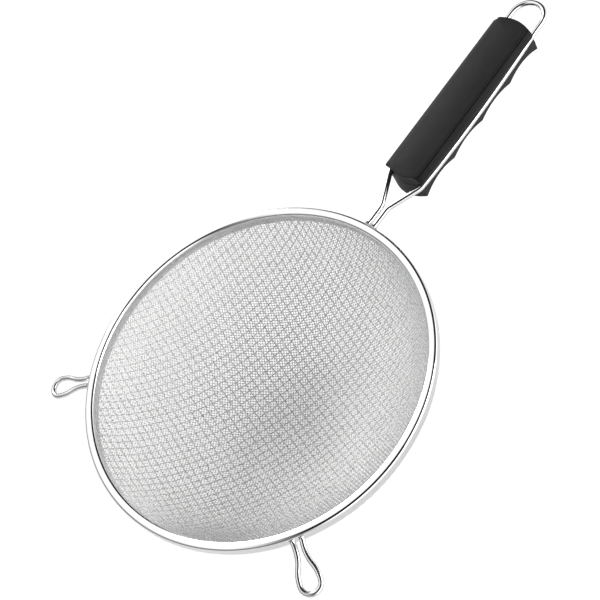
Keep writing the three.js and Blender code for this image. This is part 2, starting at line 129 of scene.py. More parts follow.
# Panel on top of the grip, with a slot under its edge and a slight dome
PANEL_RISE = 0.8
PANEL_EDGE = 0.25
PANEL_SIDE = 0.45
PANEL_SLOT = 0.5
PANEL_OVERHANG = 0.8
PANEL_MARGIN = 1.2
PANEL_SHARES = (0.76, 0.62, 0.48, 0.34, 0.2, 0.06)
FRONT_CORNER = 2.4
REAR_CORNER = 0.9

# Small rounding of the grip's edges
CHANNEL_ROUND = 0.4
LIP_LOW_ROUND = 0.2
LIP_ROUND = 0.3
SLOT_ROUND = 0.1
PANEL_LOW_ROUND = 0.06
PANEL_ROUND = 0.1
LEDGE_ROUND = 0.3
BASE_ROUND = 0.5
CAP_ROUND_STEPS = 4
BASE_ROUND_STEPS = 5

# Ends of the grip at the heights of its heel, lip and panel: middle, fall-back and corner posts of the front,
# then middle and fall-back of the rear
END_HEIGHTS = (-HEEL_DEPTH, LIP_HEIGHT, TOP_HEIGHT)
FRONT_MIDDLE = (27.9, 31.7, 30.0)
FRONT_CROWN = (5.2, 2.8, 7.2)
FRONT_POST = (0.0, 3.2, 0.0)
REAR_MIDDLE = (139.6, 140.4, 139.7)
REAR_CROWN = 4.0
POST_POWER = 6

# Finger hollows under the grip
HOLLOWS = 4
RIDGE_HALF = 0.5
RIDGE_SOFT = 1.6
UNDERSIDE_MARGIN = 8
UNDERSIDE_POINTS = 2401
GRIP_RINGS = 161
END_COLUMNS = 13
CAP_COLUMNS = 33
FLAT_ENOUGH = 1e-6

# Rest hooks: drop-shaped loops on two feet
HOOK_WIRE = 1.55
HOOK_SPREAD = math.radians(55.3)
HOOK_DROOP = math.radians(13)
HOOK_DROP = 3.5
HOOK_REACH = 29.47
HOOK_TIP = HOOK_REACH - HOOK_WIRE
HOOK_LOOP = 5.5
HOOK_START = -0.3
HOOK_FOOT = 2.5
HOOK_NECK_HALF = 2.25
HOOK_NECK = 5.0
HOOK_NECK_STEPS = 14
HOOK_SWAY_STEPS = 20
HOOK_TIP_STEPS = 14
HOOK_SIDES = 24

ACROSS_WIRES = np.array([0.0, 0.0, 1.0])
LEAST_BEND = math.radians(8)
TINY = 1e-12


# Meshes

def add_mesh(name, verts, faces, material, sharp=None):
    """Mesh object from millimetre points and faces (a list, or an array of quads)."""
    mesh = bpy.data.meshes.new(name)
    verts = np.asarray(verts, float) * MM
    if isinstance(faces, np.ndarray):
        starts = np.arange(0, faces.size, faces.shape[1], dtype=np.int32)
        mesh.vertices.add(len(verts))
        mesh.vertices.foreach_set("co", verts.astype(np.float32).ravel())
        mesh.loops.add(faces.size)
        mesh.loops.foreach_set("vertex_index", faces.astype(np.int32).ravel())
        mesh.polygons.add(len(faces))
        mesh.polygons.foreach_set("loop_start", starts)
        mesh.update(calc_edges=True)
    else:
        mesh.from_pydata(verts.tolist(), [], faces)
    mesh.validate()
    mesh.shade_smooth()
    if sharp is not None:
        mesh.set_sharp_from_angle(angle=math.radians(sharp))
    mesh.materials.append(material)
    obj = bpy.data.objects.new(name, mesh)
    bpy.context.scene.collection.objects.link(obj)
    return obj


def stands_for(piece, node):
    """Puts a piece in the place of a solid of the part: hangs it on the root body and hides that solid."""
    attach(piece, "root")
    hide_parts(node)


def unit(v):
    return v / np.linalg.norm(v, axis=-1, keepdims=True)


def tube(path, normal, radius, sides):
    """Points and quads of a round wire along a path; normal is a direction across it at each point."""
    tangent = unit(np.gradient(path, axis=0))
    across = unit(np.cross(tangent, normal))
    up = np.cross(across, tangent)
    angle = np.arange(sides) * 2 * math.pi / sides
    radius = np.broadcast_to(np.asarray(radius, float), (len(path),))
    ring = (np.cos(angle)[None, :, None] * up[:, None] + np.sin(angle)[None, :, None] * across[:, None])
    verts = (path[:, None] + ring * radius[:, None, None]).reshape(-1, 3)
    k = np.arange(len(path) - 1)[:, None] * sides
    a = np.arange(sides)[None, :]
    b = (a + 1) % sides
    quads = np.stack([k + a, k + b, k + sides + b, k + sides + a], -1).reshape(-1, 4)
    return verts, quads


def capped_tube(path, radius, sides):
    """Closed round wire along a path that lies in one level plane."""
    verts, quads = tube(path, ACROSS_WIRES, radius, sides)
    last = len(verts) - sides
    faces = quads.tolist()
    faces.append(list(range(sides))[::-1])
    faces.append(list(range(last, last + sides)))
    return verts, faces


def lathe(profile, segments):
    """Closed ring about Z from a closed outline of (radius, height)."""
    profile = np.asarray(profile, float)
    turn = np.arange(segments) * 2 * math.pi / segments
    n = len(profile)
    verts = np.stack([
        np.cos(turn)[:, None] * profile[None, :, 0],
        np.sin(turn)[:, None] * profile[None, :, 0],
        np.broadcast_to(profile[None, :, 1], (segments, n)),
    ], -1).reshape(-1, 3)
    s = np.arange(segments)[:, None]
    t = (s + 1) % segments
    a = np.arange(n)[None, :]
    b = (a + 1) % n
    return verts, np.stack([s * n + a, t * n + a, t * n + b, s * n + b], -1).reshape(-1, 4)


def arc(cx, cy, radius, start, end, steps):
    angle = np.radians(np.linspace(start, end, steps + 1))
    return [(cx + radius * math.cos(a), cy + radius * math.sin(a)) for a in angle]


def bezier(a, b, c, d, steps):
    t = np.linspace(0, 1, steps + 1)[:, None]
    a, b, c, d = (np.asarray(p, float) for p in (a, b, c, d))
    return (1 - t) ** 3 * a + 3 * t * (1 - t) ** 2 * b + 3 * t * t * (1 - t) * c + t ** 3 * d


def rounded(points, radii, steps):
    """Open plane outline with each corner rounded to its own radius; slight bends stay as they are."""
    points = [np.asarray(p, float) for p in points]
    out = [points[0]]
    for k in range(1, len(points) - 1):
        p, radius = points[k], radii[k]
        before, after = unit(p - points[k - 1]), unit(points[k + 1] - p)
        bend = math.acos(max(-1.0, min(1.0, float(before @ after))))
        if bend < LEAST_BEND or radius <= 0:
            out.append(p)
            continue
        start = p - before * radius * math.tan(bend / 2)
        side = np.sign(before[0] * after[1] - before[1] * after[0])
        centre = start + radius * side * np.array([-before[1], before[0]])
        first = start - centre
        for s in range(steps + 1):
            turn = side * bend * s / steps
            c, q = math.cos(turn), math.sin(turn)
            out.append(centre + np.array([c * first[0] - q * first[1], q * first[0] + c * first[1]]))
    out.append(points[-1])
    return np.array(out)


def resample(points, step):
    """Plane path with extra points so that no stretch is longer than step."""
    out = [points[0]]
    for a, b in zip(points[:-1], points[1:]):
        n = max(1, math.ceil(np.linalg.norm(b - a) / step))
        out.extend(a + (b - a) * k / n for k in range(1, n + 1))
    return np.array(out)


def smoothed(points):
    """Path with small kinks between its runs eased out; both ends stay."""
    out = points.copy()
    for _ in range(EASING_ROUNDS):
        out[1:-1] = (out[:-2] + 2 * out[1:-1] + out[2:]) / 4
    return out


def fine_ends(path, step):
    """Path with closer points at both ends, where the weld fillets are."""
    def split(a, b):
        n = int(np.linalg.norm(b - a) / step)
        return [a + (b - a) * k / n for k in range(n)]
    head, tail = split(path[0], path[1]), split(path[-2], path[-1])
    return np.concatenate([head, path[1:-2], tail, path[-1:]])


def weld_flare(path, radius, spread, reach):
    """Wire radius that widens to a small weld fillet at both ends."""
    length = np.concatenate([[0], np.cumsum(np.linalg.norm(np.diff(path, axis=0), axis=1))])
    near = np.minimum(length, length[-1] - length)
    return radius + spread * np.exp(-(near / reach) ** FILLET_POWER)


# Materials

# Part of the noise range that is used, and the settings of lines, clouds and grain; depths in metres
NOISE_LOW = 0.3
NOISE_HIGH = 0.7
LINE_DETAIL = 4.0
LINE_FADE = 0.6
LINE_DEPTH = 0.00002
RING_LINES = (6, 2600, 2600)
RING_CLOUD = 45
STREAK_CLOUD = 60
METAL_CLOUD_DETAIL = 2.0
WOVEN_CLOUD = 70
WOVEN_CLOUD_DETAIL = 3.0
WOVEN_GRAIN = 900
WOVEN_GRAIN_DETAIL = 2.0
MOULD_GRAIN = 1500.0
MOULD_CLOUD = 55.0
MOULD_DETAIL = 3.0
MOULD_FADE = 0.6
MOULD_ROUGH = (0.42, 0.6)
MOULD_BUMP = 0.35
MOULD_DEPTH = 0.00006
MOULD_SPECULAR = 0.3


def triple(value):
    return (value, value, value)


def add_node(tree, kind, links=None, **settings):
    """New node of a surface or of the studio; links gives its inputs, from sockets or as plain values."""
    node = tree.nodes.new(kind)
    for key, value in settings.items():
        setattr(node, key, value)
    for key, value in (links or {}).items():
        if isinstance(value, bpy.types.NodeSocket):
            tree.links.new(value, node.inputs[key])
        else:
            node.inputs[key].default_value = value
    return node


class Shader:
    """A surface, with short calls that give it a pattern of tone, gloss and fine relief."""

    def __init__(self, name, **inputs):
        self.material = bpy.data.materials.new(name)
        self.material.use_nodes = True
        self.tree = self.material.node_tree
        self.bsdf = self.tree.nodes["Principled BSDF"]
        for key, value in inputs.items():
            self.bsdf.inputs[key.replace("_", " ")].default_value = value

    def node(self, kind, links=None, **settings):
        return add_node(self.tree, kind, links, **settings)

    def math(self, kind, first, second):
        return self.node("ShaderNodeMath", {0: first, 1: second}, operation=kind).outputs[0]

    def link(self, socket, name):
        self.tree.links.new(socket, self.bsdf.inputs[name])

    def position(self, scale):
        where = self.node("ShaderNodeTexCoord").outputs["Object"]
        return self.node("ShaderNodeMapping", {"Vector": where, "Scale": scale}).outputs["Vector"]

    def noise(self, vector, scale, detail, rough=0.55):
        return self.node("ShaderNodeTexNoise", {
            "Vector": vector, "Scale": scale, "Detail": detail, "Roughness": rough}).outputs["Fac"]

    def span(self, value, low, high):
        return self.node("ShaderNodeMapRange", {
            "Value": value, "From Min": NOISE_LOW, "From Max": NOISE_HIGH,
            "To Min": low, "To Max": high}).outputs["Result"]

    def tint(self, value, low, high):
        ramp = self.node("ShaderNodeValToRGB", {"Fac": value})
        for end, place, tone in zip(ramp.color_ramp.elements, (NOISE_LOW, NOISE_HIGH), (low, high)):
            end.position = place
            end.color = (*tone, 1)
        return ramp.outputs["Color"]

    def bump(self, height, strength, distance):
        node = self.node("ShaderNodeBump", {"Height": height, "Strength": strength, "Distance": distance})
        self.link(node.outputs["Normal"], "Normal")

    def polish(self, lines, cloud, low, high, rough, grain):
        """Bright metal: tone from a soft cloud, gloss and faint relief from fine lines."""
        self.link(self.tint(cloud, low, high), "Base Color")
        self.link(self.span(lines, *rough), "Roughness")
        self.bump(lines, grain, LINE_DEPTH)
        return self.material


def streaked_steel(name, scale, low, high, rough, grain):
    """Bright steel with fine drawing lines along the axis that has the smallest scale."""
    s = Shader(name, Metallic=1.0)
    lines = s.noise(s.position(scale), 1.0, LINE_DETAIL, LINE_FADE)
    cloud = s.noise(s.position(triple(STREAK_CLOUD)), 1.0, METAL_CLOUD_DETAIL)
    return s.polish(lines, cloud, low, high, rough, grain)


def ring_steel(name, low, high, rough, grain):
    """Bright sheet with polishing lines that run round the Z axis."""
    s = Shader(name, Metallic=1.0)
    where = s.node("ShaderNodeTexCoord").outputs["Object"]
    xyz = s.node("ShaderNodeSeparateXYZ", {"Vector": where})
    x, y, z = (xyz.outputs[axis] for axis in "XYZ")
    turn = s.math("ARCTAN2", y, x)
    flat = s.node("ShaderNodeCombineXYZ", {"X": x, "Y": y}).outputs[0]
    radius = s.node("ShaderNodeVectorMath", {0: flat}, operation="LENGTH").outputs["Value"]
    around = s.node("ShaderNodeCombineXYZ", {"X": turn, "Y": radius, "Z": z}).outputs[0]
    stretched = s.node("ShaderNodeMapping", {"Vector": around, "Scale": RING_LINES}).outputs["Vector"]
    lines = s.noise(stretched, 1.0, LINE_DETAIL, LINE_FADE)
    cloud = s.noise(s.position(triple(RING_CLOUD)), 1.0, METAL_CLOUD_DETAIL)
    return s.polish(lines, cloud, low, high, rough, grain)


def woven_steel(name, low, high, rough, metal):
    """Drawn wire whose tone changes slightly from place to place; metal is below 1 where it is matt."""
    s = Shader(name, Metallic=metal)
    cloud = s.noise(s.position(triple(WOVEN_CLOUD)), 1.0, WOVEN_CLOUD_DETAIL)
    grain = s.noise(s.position(triple(WOVEN_GRAIN)), 1.0, WOVEN_GRAIN_DETAIL)
    s.link(s.tint(cloud, low, high), "Base Color")
    s.link(s.span(grain, *rough), "Roughness")
    return s.material


def moulded_plastic(name, low, high):
    """Black plastic with the fine satin grain of a mould."""
    s = Shader(name, Specular_IOR_Level=MOULD_SPECULAR)
    grain = s.noise(s.position(triple(1)), MOULD_GRAIN, MOULD_DETAIL, MOULD_FADE)
    cloud = s.noise(s.position(triple(1)), MOULD_CLOUD, MOULD_DETAIL)
    s.link(s.tint(cloud, low, high), "Base Color")
    s.link(s.span(grain, *MOULD_ROUGH), "Roughness")
    s.bump(grain, MOULD_BUMP, MOULD_DEPTH)
    return s.material


RIM_STEEL = ring_steel("rim_polish", low=triple(0.93), high=triple(0.98), rough=(0.03, 0.08), grain=0.06)
HOOP_STEEL = ring_steel("hoop_strip", low=(0.60, 0.61, 0.63), high=(0.72, 0.73, 0.75),
                        rough=(0.25, 0.4), grain=0.4)
HANDLE_STEEL = streaked_steel("handle_polish", scale=(40, 1800, 1800), low=triple(0.86), high=triple(0.93),
                              rough=(0.12, 0.18), grain=0.06)
HOOK_STEEL = streaked_steel("hook_polish", scale=(500, 500, 1500), low=triple(0.88), high=triple(0.95),
                            rough=(0.16, 0.22), grain=0.06)
FINE_STEEL = woven_steel("fine_wire_steel", low=triple(0.88), high=triple(0.94),
                         rough=(0.2, 0.34), metal=0.45)
SUPPORT_STEEL = woven_steel("support_wire_steel", low=triple(0.86), high=triple(0.92),
                            rough=(0.2, 0.34), metal=0.5)
GRIP_PLASTIC = moulded_plastic("grip_plastic_grain", low=(0.011, 0.011, 0.0115),
                               high=(0.017, 0.017, 0.0175))


# Woven bowl

def drape(step, reach, lean):
    """Directions of a cloth's crossings on a unit sphere, from its lowest point outwards.

    step is the angle between wires each way. Each square shears so that its sides keep their length.
    lean tips the middle of the cloth away from the bowl's axis."""
    ci, cj = (math.ceil(reach / s) + 1 for s in step)
    at = np.zeros((2 * ci + 1, 2 * cj + 1, 3))
    for k in range(-ci, ci + 1):
        at[ci + k, cj] = (math.sin(k * step[0]), 0, -math.cos(k * step[0]))
    for k in range(-cj, cj + 1):
        at[ci, cj + k] = (0, math.sin(k * step[1]), -math.cos(k * step[1]))
    sx = np.array([1, 1, -1, -1])
    sy = np.array([1, -1, 1, -1])
    for i in range(1, ci + 1):
        for j in range(1, cj + 1):
            x, y = ci + sx * i, cj + sy * j
            across = unit(at[x, y - sy] + at[x - sx, y] + TINY)
            back = at[x - sx, y - sy]
            at[x, y] = 2 * np.sum(across * back, 1, keepdims=True) * across - back
    turn = np.array(Matrix.Rotation(lean[1], 3, "Y") @ Matrix.Rotation(lean[0], 3, "X"))
    return at @ turn.T


def cloth_wires(edge, bottom, pitch, wire, angle, lean, parts):
    """Points across the wires of both ways of a woven cloth, with its edge turned up into the rim.

    Returns for each way a list of (path, normal) arrays; wires pass over and under each other."""
    rise = CLOTH_TURN - bottom
    radius = (edge ** 2 + rise ** 2) / (2 * rise)
    centre = bottom + radius
    turn_angle = math.acos((centre - CLOTH_TURN) / radius)
    limit = turn_angle + (CLOTH_CUT - CLOTH_TURN) / radius
    at = drape([p / radius for p in pitch], limit + max(abs(a) for a in lean) + CLOTH_MARGIN, lean)
    c, s = math.cos(angle), math.sin(angle)
    at = at @ np.array([[c, s, 0], [-s, c, 0], [0, 0, 1]])
    share = np.arange(parts) / parts

    def polar_angle(direction):
        return np.arccos(np.clip(-direction[:, 2], -1, 1))

    def place(direction, offset):
        polar = polar_angle(direction)
        bowl = direction * (radius + offset)[:, None]
        bowl[:, 2] += centre
        flat = unit(direction[:, :2] + TINY)
        up = CLOTH_TURN + radius * (polar - turn_angle)
        band = np.column_stack([flat * (edge + offset)[:, None], up])
        inside = (polar <= turn_angle)[:, None]
        normal = np.where(inside, direction, np.column_stack([flat, np.zeros(len(flat))]))
        return np.where(inside, bowl, band), normal

    ways = []
    for grid, side in ((at, 1), (at.transpose(1, 0, 2), -1)):
        half = [(n - 1) // 2 for n in grid.shape[:2]]
        wires = []
        for j in range(grid.shape[1]):
            line = grid[:, j]
            polar = polar_angle(line)
            keep = np.flatnonzero(polar < limit)
            if len(keep) < LEAST_CROSSINGS:
                continue
            first = last = keep[np.argmin(polar[keep])]
            while first > 0 and polar[first - 1] < limit:
                first -= 1
            while last < len(line) - 1 and polar[last + 1] < limit:
                last += 1
            run = line[first:last + 1]
            if len(run) < LEAST_CROSSINGS:
                continue
            between = run[:-1, None] + (run[1:] - run[:-1])[:, None] * share[None, :, None]
            direction = np.concatenate([unit(between).reshape(-1, 3), run[-1:]])
            steps = np.arange(len(direction)) / parts + first - half[0] + j - half[1]
            offset = side * wire / 2 * np.cos(math.pi * steps)
            wires.append(place(direction, offset))
        ways.append(wires)
    return ways


def weave(name, node, material, wires, wire, sides, pieces):
    """Joins the wires of one way of a cloth into a few mesh pieces."""
    groups = np.array_split(np.arange(len(wires)), pieces)
    for k, group in enumerate(groups):
        verts, quads, start = [], [], 0
        for w in group:
            v, q = tube(*wires[w], wire / 2, sides)
            verts.append(v)
            quads.append(q + start)
            start += len(v)
        piece = add_mesh(f"{name}_{k + 1}", np.concatenate(verts), np.concatenate(quads), material)
        stands_for(piece, node)


fine = cloth_wires(FINE_EDGE, FINE_BOTTOM, FINE_PITCH, FINE_WIRE, FINE_TURN, FINE_LEAN, parts=2)
support = cloth_wires(SUPPORT_EDGE, SUPPORT_BOTTOM, SUPPORT_PITCH, SUPPORT_WIRE, SUPPORT_TURN, SUPPORT_LEAN,
                      parts=4)
for way, wires in zip(("warp", "weft"), fine):
    weave(f"fine_{way}", "fine_mesh", FINE_STEEL, wires, FINE_WIRE, sides=4, pieces=2)
for way, wires in zip(("warp", "weft"), support):
    weave(f"support_{way}", "support_mesh", SUPPORT_STEEL, wires, SUPPORT_WIRE,
          sides=8, pieces=1)


# Rim

def rim():
    """Folded channel: round outer edge, eased inner edge, rolled lips at the feet of both walls."""
    fold = RIM_CORNER - RIM_SHEET
    bend = RIM_TOP - RIM_CORNER
    outer, inner = RIM_RADIUS - RIM_CORNER, RIM_INNER + RIM_CORNER
    lip = RIM_SHEET / 2
    outer_lip = RIM_TOP - RIM_OUTER_WALL + lip
    inner_lip = RIM_TOP - RIM_INNER_WALL + lip
    drop = RIM_EASE / RIM_CORNER
    inner_edge = arc(inner, bend, RIM_CORNER, 90, 180, RIM_EDGE_STEPS)
    profile = [
        *arc(RIM_RADIUS - lip, outer_lip, lip, -180, 0, RIM_LIP_STEPS),
        *arc(outer, bend, RIM_CORNER, 0, 90, RIM_EDGE_STEPS),
        *[(r, RIM_TOP - (RIM_TOP - z) * drop) for r, z in inner_edge],
        *arc(RIM_INNER + lip, inner_lip, lip, 180, 360, RIM_LIP_STEPS),
        *arc(inner, bend, fold, 180, 90, RIM_FOLD_STEPS),
        *arc(outer, bend, fold, 90, 0, RIM_FOLD_STEPS),
    ]
    verts, quads = lathe(profile, RIM_SEGMENTS)
    stands_for(add_mesh("rim_band", verts, quads, RIM_STEEL), "rim_channel")


rim()
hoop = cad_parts["clamp_hoop"]
hoop.data.materials.clear()
hoop.data.materials.append(HOOP_STEEL)


# Handle

HANDLE = np.array(Matrix.Translation((RIM_RADIUS, 0, RIM_TOP - LEG_DROP))
                  @ Matrix.Rotation(-HANDLE_RISE, 4, "Y"))


def moved(points, place):
    """Points taken from a piece's own plane to its place on the part."""
    return np.asarray(points, float) @ place[:3, :3].T + place[:3, 3]


def handle_route(start):
    """Centre line of the handle wire in the handle's plane, from one leg round the loop to the other."""
    entry, leave = np.array([SIDE_START, -SIDE_HALF]), np.array([SIDE_END, -LOOP_HALF])
    third = (leave - entry) / 3
    bulge = np.array([0, -SIDE_BOW * 4 / 3])
    near_entry, near_leave = entry + third + bulge, leave - third + bulge
    settled = entry + (near_entry - entry) * WIRE_BEND / third[0]
    corners = [(start, -LEG_HALF), (LEG_STRAIGHT, -LEG_HALF), entry, settled]
    leg = rounded(corners, [WIRE_BEND] * len(corners), BEND_STEPS)
    side = bezier(settled, near_entry, near_leave, leave, SIDE_STEPS)[1:]
    ease = np.linspace(0, 1, STRAND_STEPS + 1)[1:, None]
    strand = leave + (np.array([LOOP_CENTRE, -LOOP_HALF]) - leave) * ease
    loop = np.array(arc(LOOP_CENTRE, 0, LOOP_HALF, -90, 90, LOOP_STEPS))[1:-1]
    right = smoothed(np.concatenate([leg, side, strand]))
    flat = resample(np.concatenate([right, loop, right[::-1] * (1, -1)]), ROUTE_STEP)
    return np.column_stack([flat, np.zeros(len(flat))])


def handle_wire():
    path = fine_ends(handle_route(LEG_START), LEG_FILLET_STEP)
    verts, faces = capped_tube(path, weld_flare(path, HANDLE_WIRE, *LEG_FILLET), HANDLE_SIDES)
    piece = add_mesh("handle_rod", moved(verts, HANDLE), faces, HANDLE_STEEL, WIRE_SHARP)
    stands_for(piece, "handle_wire")


handle_wire()


# Grip

def front_at(y, z):
    """Front end of the grip: crowned across, with square posts at the height of the lip."""
    shape = (FRONT_MIDDLE, FRONT_CROWN, FRONT_POST)
    front, crown, post = (np.interp(z, END_HEIGHTS, values) for values in shape)
    across = y / GRIP_HALF
    return front + crown * across ** 2 - post * across ** POST_POWER


def rear_at(y, z):
    return np.interp(z, END_HEIGHTS, REAR_MIDDLE) - REAR_CROWN * (y / GRIP_HALF) ** 2


def corner_fall(y, half, radius):
    """Fall-back of an end where its plan outline turns a rounded corner."""
    past = np.clip((np.abs(y) - (half - radius)) / radius, 0, 1)
    return radius * (1 - np.sqrt(1 - past ** 2))


def closed_stack(levels):
    """Closed body through stacked outlines that have the same number of points."""
    n = len(levels[0])
    verts = np.concatenate(levels)
    faces = []
    for level in range(len(levels) - 1):
        for k in range(n):
            a, b = level * n + k, level * n + (k + 1) % n
            faces.append([a, b, b + n, a + n])
    faces.append(list(range(n))[::-1])
    faces.append(list(range(len(verts) - n, len(verts))))
    return verts, faces


def grip_upper():
    """Cap of the grip: a domed panel over a narrow slot, sloping flanks, a lip over the wire's channel."""
    edge = TOP_HEIGHT - PANEL_EDGE
    below = edge - PANEL_SIDE
    foot = below - PANEL_SLOT
    inner = GRIP_TOP_HALF - PANEL_OVERHANG
    corners = [
        (GRIP_CORE_HALF, PART_GAP, 0),
        (GRIP_CORE_HALF, CHANNEL_HEIGHT, CHANNEL_ROUND),
        (GRIP_HALF, LIP_HEIGHT - LIP_EDGE, LIP_LOW_ROUND),
        (GRIP_HALF, LIP_HEIGHT, LIP_ROUND),
        (GRIP_FOOT_HALF, foot, SLOT_ROUND),
        (inner, foot, SLOT_ROUND),
        (inner, below, SLOT_ROUND),
        (GRIP_TOP_HALF, below, PANEL_LOW_ROUND),
        (GRIP_TOP_HALF, edge, PANEL_ROUND),
        (GRIP_TOP_HALF - PANEL_MARGIN, edge + PANEL_EDGE, 0),
    ]
    points, radii = [corner[:2] for corner in corners], [corner[2] for corner in corners]
    profile = rounded(points, radii, CAP_ROUND_STEPS)
    dome = [(share * GRIP_TOP_HALF, edge + PANEL_RISE * (1 - share ** 2)) for share in PANEL_SHARES]
    across = np.sin(np.linspace(-math.pi / 2, math.pi / 2, CAP_COLUMNS))
    levels = []
    for half, z in [*profile, *dome]:
        inset = max(GRIP_TOP_HALF - half, 0) if z > LIP_HEIGHT else 0
        y = across * half
        front_corner, rear_corner = min(half / 2, FRONT_CORNER), min(half / 2, REAR_CORNER)
        rear = np.column_stack([rear_at(y, z) - inset - corner_fall(y, half, rear_corner), y])
        front = np.column_stack([front_at(y, z) + inset + corner_fall(y, half, front_corner), y])[::-1]
        outline = np.concatenate([rear, front])
        levels.append(np.column_stack([outline, np.full(len(outline), z)]))
    return closed_stack(levels)


def underside():
    """Height of the grip's underside along x: finger hollows with softened ridges between them."""
    xs = np.linspace(GRIP_START - UNDERSIDE_MARGIN, GRIP_END + UNDERSIDE_MARGIN, UNDERSIDE_POINTS)
    z = np.full(len(xs), -HEEL_DEPTH)
    pitch = (GRIP_END - GRIP_START) / HOLLOWS
    for k in range(HOLLOWS):
        x0, x1 = GRIP_START + k * pitch + RIDGE_HALF, GRIP_START + (k + 1) * pitch - RIDGE_HALF
        z0 = -HEEL_DEPTH if k == 0 else -RIDGE_DEPTH
        z1 = -HEEL_DEPTH if k == HOLLOWS - 1 else -RIDGE_DEPTH
        inside = (xs > x0 - RIDGE_HALF) & (xs < x1 + RIDGE_HALF)
        u = np.clip((xs[inside] - x0) / (x1 - x0), 0, 1)
        chord = z0 + (z1 - z0) * u
        depth = -VALLEY_DEPTH - (z0 + z1) / 2
        z[inside] = chord + depth * (1 - (2 * u - 1) ** 2)
    soft = int(RIDGE_SOFT / (xs[1] - xs[0]))
    window = np.hanning(soft + 2)[1:-1]
    z = np.convolve(np.pad(z, soft, mode="edge"), window / window.sum(), mode="same")[soft:-soft]
    return lambda x: np.interp(x, xs, z)


def grip_lower():
    """Finger half of the grip: a ledge under the wire, drafted walls, softened lower edges."""
    depth = underside()
    share = np.linspace(1, -1, END_COLUMNS)[1:-1]
    front_foot, rear_foot = (end(GRIP_BASE_HALF, -HEEL_DEPTH) for end in (front_at, rear_at))
    rings = []
    for s in np.linspace(0, 1, GRIP_RINGS):
        bottom = float(depth(front_foot * (1 - s) + rear_foot * s))
        corners = [(GRIP_CORE_HALF, -PART_GAP), (GRIP_LEDGE_HALF, -LEDGE_DEPTH),
                   (GRIP_BASE_HALF, bottom), (0.0, bottom)]
        wall = rounded(corners, [0, LEDGE_ROUND, BASE_ROUND, 0], BASE_ROUND_STEPS)[:-1]
        flat = np.column_stack([wall[-1][0] * share, np.full(len(share), bottom)])
        top = np.column_stack([-GRIP_CORE_HALF * share, np.full(len(share), -PART_GAP)])
        section = np.concatenate([wall, flat, wall[::-1] * (-1, 1), top])
        y, z = section[:, 0], section[:, 1].copy()
        x = front_at(y, z) * (1 - s) + rear_at(y, z) * s
        under = np.abs(z - bottom) < FLAT_ENOUGH
        z[under] = depth(x[under])
        rings.append(np.column_stack([x, y, z]))
    n, rows = len(rings[0]), len(wall)
    verts = list(np.concatenate(rings))
    faces = []
    for i in range(len(rings) - 1):
        for k in range(n):
            a, b = i * n + k, i * n + (k + 1) % n
            faces.append([a, a + n, b + n, b])
    for start, end_at in ((0, front_at), (len(verts) - n, rear_at)):
        left = start + 2 * rows + len(share) - 1
        grid = [[start, *range(start + n - 1, start + n - len(share) - 1, -1), left]]
        for k in range(1, rows - 1):
            y, z = verts[start + k][1] * share, verts[start + k][2]
            inside = range(len(verts), len(verts) + len(y))
            verts.extend(np.column_stack([end_at(y, z), y, np.full(len(y), z)]))
            grid.append([start + k, *inside, left - k])
        grid.append(list(range(start + rows - 1, start + rows + len(share) + 1)))
        for upper, lower in zip(grid[:-1], grid[1:]):
            for k in range(len(share) + 1):
                face = [upper[k], lower[k], lower[k + 1], upper[k + 1]]
                faces.append(face if start == 0 else face[::-1])
    return verts, faces


def cut(piece, cutter):
    """Takes the cutter's volume out of a piece and applies the result."""
    groove = piece.modifiers.new("groove", "BOOLEAN")
    groove.operation = "DIFFERENCE"
    groove.solver = "EXACT"
    groove.object = cutter
    bpy.context.view_layer.update()
    evaluated = piece.evaluated_get(bpy.context.evaluated_depsgraph_get())
    mesh = bpy.data.meshes.new_from_object(evaluated)
    piece.modifiers.clear()
    piece.data = mesh


def grip():
    """Both halves of the grip, with the channel that the handle wire runs in."""
    verts, faces = capped_tube(handle_route(GROOVE_START), HANDLE_WIRE + WIRE_ROOM, HANDLE_SIDES)
    groove = add_mesh("groove_cutter", moved(verts, HANDLE), faces, GRIP_PLASTIC)
    for name, node, shape in (("grip_top_half", "grip_upper", grip_upper),
                              ("grip_finger_half", "grip_lower", grip_lower)):
        verts, faces = shape()
        piece = add_mesh(name, moved(verts, HANDLE), faces, GRIP_PLASTIC)
        cut(piece, groove)
        piece.data.shade_smooth()
        piece.data.set_sharp_from_angle(angle=math.radians(GRIP_SHARP))
        stands_for(piece, node)
    bpy.data.objects.remove(groove)


grip()


# Rest hooks

def rest_hook(name, node, side):
    """One drop-shaped loop, hung on the rim at one side of the line opposite the handle."""
    centre = HOOK_TIP - HOOK_LOOP
    sway = (centre - HOOK_NECK) / 2
    pull = HOOK_LOOP * 4 / 3 * math.tan(math.pi / 8)
    half = np.concatenate([
        bezier((HOOK_START, -HOOK_FOOT), (HOOK_NECK / 2, -HOOK_FOOT), (HOOK_NECK / 2, -HOOK_NECK_HALF),
               (HOOK_NECK, -HOOK_NECK_HALF), HOOK_NECK_STEPS)[:-1],
        bezier((HOOK_NECK, -HOOK_NECK_HALF), (HOOK_NECK + sway, -HOOK_NECK_HALF),
               (centre - sway, -HOOK_LOOP), (centre, -HOOK_LOOP), HOOK_SWAY_STEPS)[:-1],
        bezier((centre, -HOOK_LOOP), (centre + pull, -HOOK_LOOP), (HOOK_TIP, -pull), (HOOK_TIP, 0),
               HOOK_TIP_STEPS),
    ])
    flat = np.concatenate([half, half[-2::-1] * (1, -1)])
    path = fine_ends(np.column_stack([flat, np.zeros(len(flat))]), HOOK_FILLET_STEP)
    verts, faces = capped_tube(path, weld_flare(path, HOOK_WIRE, *HOOK_FILLET), HOOK_SIDES)
    place = np.array(Matrix.Rotation(math.pi + side * HOOK_SPREAD, 4, "Z")
                     @ Matrix.Translation((RIM_RADIUS, 0, RIM_TOP - HOOK_DROP))
                     @ Matrix.Rotation(HOOK_DROOP, 4, "Y"))
    piece = add_mesh(name, moved(verts, place), faces, HOOK_STEEL, WIRE_SHARP)
    stands_for(piece, node)


